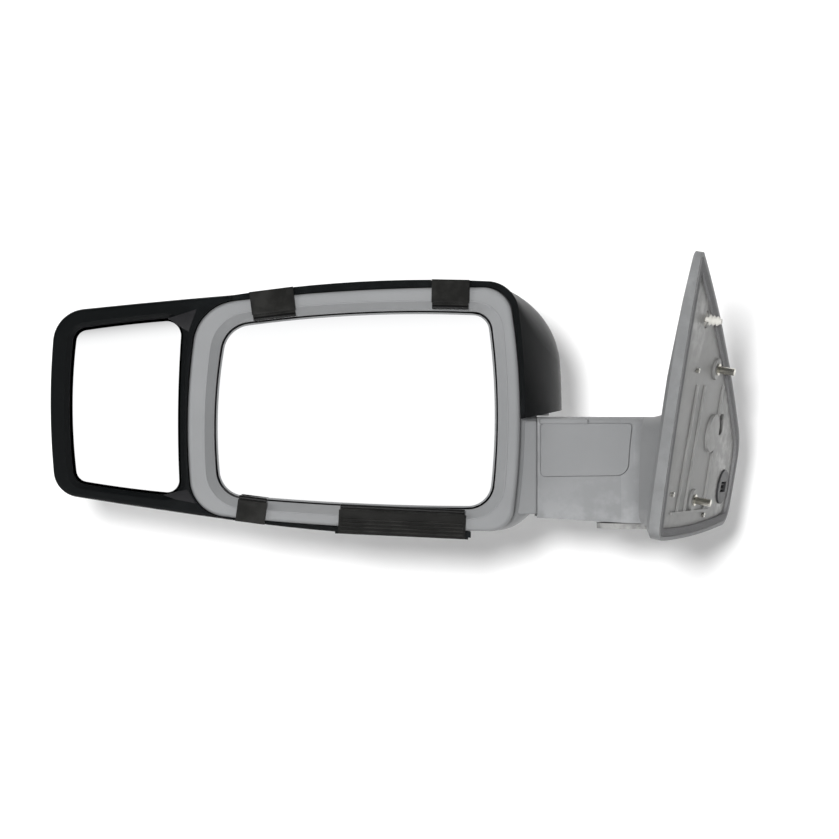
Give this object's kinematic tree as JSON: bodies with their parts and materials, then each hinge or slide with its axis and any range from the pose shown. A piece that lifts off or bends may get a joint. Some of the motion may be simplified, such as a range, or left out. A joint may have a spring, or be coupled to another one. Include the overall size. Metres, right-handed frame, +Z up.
{
  "type": "towing mirror",
  "caption": "Pickup door mirror on a folding arm, with a clip-on towing extension that wraps its housing and carries a second, outboard mirror.",
  "frame": {"origin": "on the door skin, at the middle of the mirror base's door face", "axes": "+X from the mirror head towards the door, +Y towards the front of the truck, +Z up"},
  "size_m": [0.5799, 0.2199, 0.2338],
  "materials": {
    "mirror_plastic": "fine moulded grain, satin grey",
    "arm_plastic": "fine moulded grain, satin grey",
    "tow_plastic": "fine moulded grain, satin black",
    "clip_plastic": "smooth satin black",
    "mirror_glass": "polished",
    "inner_plastic": "as moulded, black",
    "heater_film": "printed film",
    "cast_alloy": "cast, bead blasted",
    "zinc_steel": "zinc plated",
    "spring_steel": "oiled",
    "white_nylon": "natural nylon",
    "foam": "closed-cell foam"
  },
  "bodies": {
    "base": {"base_bracket": "cast_alloy", "base_cover": "arm_plastic", "base_gasket": "foam", "base_screws": "zinc_steel", "door_studs": "zinc_steel", "sail_push_clip": "white_nylon", "wiring_connector": "inner_plastic", "pivot_post": "zinc_steel", "detent_ring_lower": "spring_steel", "fold_spring": "spring_steel", "spring_retainer": "zinc_steel", "snap_ring": "spring_steel"},
    "head": {"arm_core": "cast_alloy", "arm_rear_cover": "arm_plastic", "arm_front_cover": "arm_plastic", "arm_rear_panel": "arm_plastic", "arm_screws": "zinc_steel", "detent_ring_upper": "spring_steel", "head_frame": "inner_plastic", "head_frame_screws": "zinc_steel", "mirror_bezel": "mirror_plastic", "mirror_housing": "mirror_plastic", "glass_actuator": "inner_plastic", "actuator_motors": "zinc_steel", "actuator_screws": "zinc_steel", "tow_shell": "tow_plastic", "shell_pads": "foam", "spotter_bezel": "tow_plastic", "spotter_bracket": "inner_plastic", "spotter_screws": "zinc_steel", "top_clip_outer": "clip_plastic", "top_clip_inner": "clip_plastic", "bottom_clip": "clip_plastic", "clamp_pin": "spring_steel"},
    "glass_ball": {"glass_pivot_ball": "white_nylon"},
    "glass": {"glass_backing": "inner_plastic", "glass_heater": "heater_film", "main_glass": "mirror_glass"},
    "pan_drive": {"pan_jackscrew": "white_nylon"},
    "tilt_drive": {"tilt_jackscrew": "white_nylon"},
    "spotter_ball": {"spotter_pivot_ball": "white_nylon"},
    "spotter": {"spotter_backing": "inner_plastic", "spotter_claw_ring": "spring_steel", "spotter_glass": "mirror_glass"},
    "clamp": {"lower_clamp": "clip_plastic"}
  },
  "joints": [
    {"name": "arm_fold", "type": "hinge", "parent": "base", "child": "head", "pos_m": [-0.072, 0, 0], "axis": [0, 0, 1], "range_deg": [-55, 60]},
    {"name": "glass_pan", "type": "hinge", "parent": "head", "child": "glass_ball", "pos_m": [-0.298, -0.022, 0.02], "axis": [0, 0, 1], "range_deg": [-6, 6]},
    {"name": "glass_tilt", "type": "hinge", "parent": "glass_ball", "child": "glass", "pos_m": [-0.298, -0.022, 0.02], "axis": [1, 0, 0], "range_deg": [-6, 6]},
    {"name": "pan_jack", "type": "slide", "parent": "head", "child": "pan_drive", "axis": [0, 1, 0], "range_m": [-0.0037, 0.0037]},
    {"name": "tilt_jack", "type": "slide", "parent": "head", "child": "tilt_drive", "axis": [0, 1, 0], "range_m": [-0.0032, 0.0032]},
    {"name": "spotter_pan", "type": "hinge", "parent": "head", "child": "spotter_ball", "pos_m": [-0.48575, -0.026, 0.02262], "axis": [0, 0, 1], "range_deg": [-6, 6]},
    {"name": "spotter_tilt", "type": "hinge", "parent": "spotter_ball", "child": "spotter", "pos_m": [-0.48575, -0.026, 0.02262], "axis": [1, 0, 0], "range_deg": [-6, 6]},
    {"name": "clamp_swing", "type": "hinge", "parent": "head", "child": "clamp", "pos_m": [-0.261, -0.014, -0.08367], "axis": [0.9989, 0, -0.0458], "range_deg": [0, 70]}
  ],
  "couplings": [
    {"joint": "pan_jack", "follows": "glass_pan", "m_per_rad": 0.034},
    {"joint": "tilt_jack", "follows": "glass_tilt", "m_per_rad": 0.029}
  ]
}
